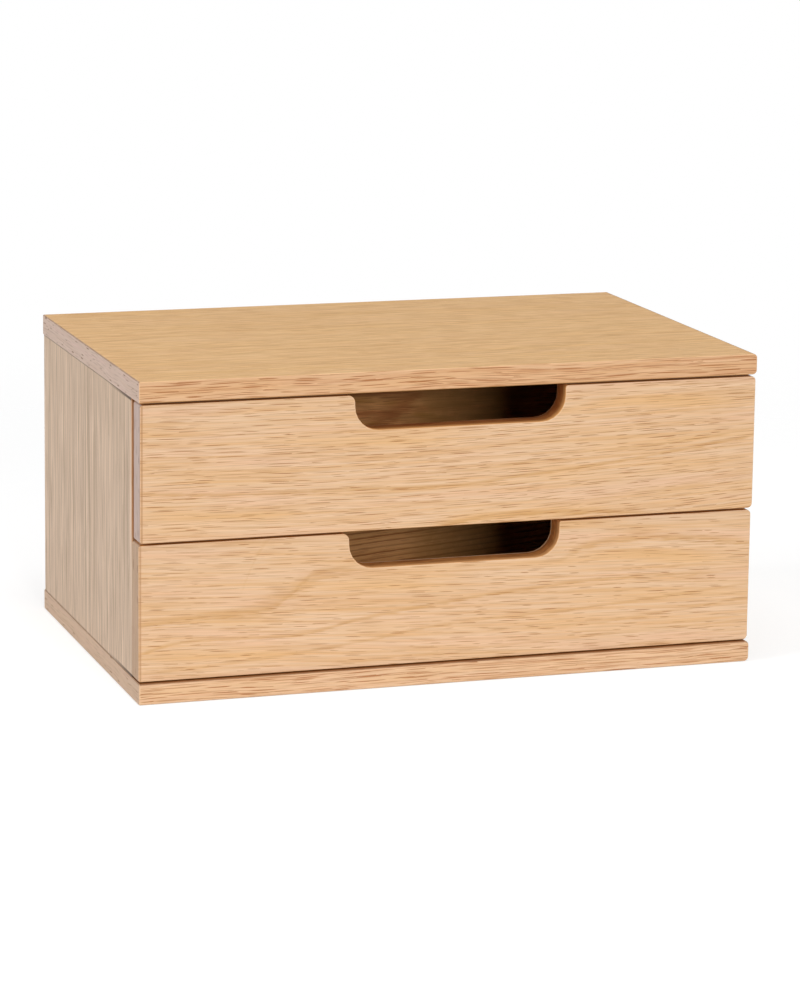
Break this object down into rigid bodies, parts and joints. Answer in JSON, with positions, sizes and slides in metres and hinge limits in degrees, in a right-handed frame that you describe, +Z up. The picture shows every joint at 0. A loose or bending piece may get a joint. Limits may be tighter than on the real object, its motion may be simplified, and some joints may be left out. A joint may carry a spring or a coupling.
{
  "type": "desktop drawer cabinet",
  "caption": "Low oak cabinet for a desktop with stacked drawers, each opened by a rounded finger slot cut into the upper edge of its front.",
  "frame": {"origin": "middle of the footprint, on the surface that the cabinet stands on", "axes": "+Z up, +X along the width, the drawer fronts face -Y"},
  "size_m": [0.35, 0.224, 0.174],
  "materials": {
    "oak_boards": "light oak, sanded, clear matt lacquer, grain along the width",
    "oak_sides": "light oak, sanded, clear matt lacquer, upright grain",
    "oak_fronts": "light oak, sanded, clear matt lacquer, grain along the width",
    "oak_box": "oak, planed and sanded, left plain inside",
    "oak_ply": "oak-faced plywood, sanded",
    "beech_dowels": "plain beech"
  },
  "bodies": {
    "case": {"base_panel": "oak_boards", "top_panel": "oak_boards", "left_side_panel": "oak_sides", "right_side_panel": "oak_sides", "back_panel": "oak_ply", "divider_shelf": "oak_ply", "base_dowels": "beech_dowels", "top_dowels": "beech_dowels"},
    "lower_drawer": {"lower_drawer_front": "oak_fronts", "lower_drawer_left_side": "oak_box", "lower_drawer_right_side": "oak_box", "lower_drawer_back": "oak_box", "lower_drawer_bottom": "oak_ply", "lower_front_dowels": "beech_dowels", "lower_back_dowels": "beech_dowels"},
    "upper_drawer": {"upper_drawer_front": "oak_fronts", "upper_drawer_left_side": "oak_box", "upper_drawer_right_side": "oak_box", "upper_drawer_back": "oak_box", "upper_drawer_bottom": "oak_ply", "upper_front_dowels": "beech_dowels", "upper_back_dowels": "beech_dowels"}
  },
  "joints": [
    {"name": "lower_drawer_slide", "type": "slide", "parent": "case", "child": "lower_drawer", "axis": [0, -1, 0], "range_m": [0, 0.16]},
    {"name": "upper_drawer_slide", "type": "slide", "parent": "case", "child": "upper_drawer", "axis": [0, -1, 0], "range_m": [-0.0016, 0.16]}
  ]
}
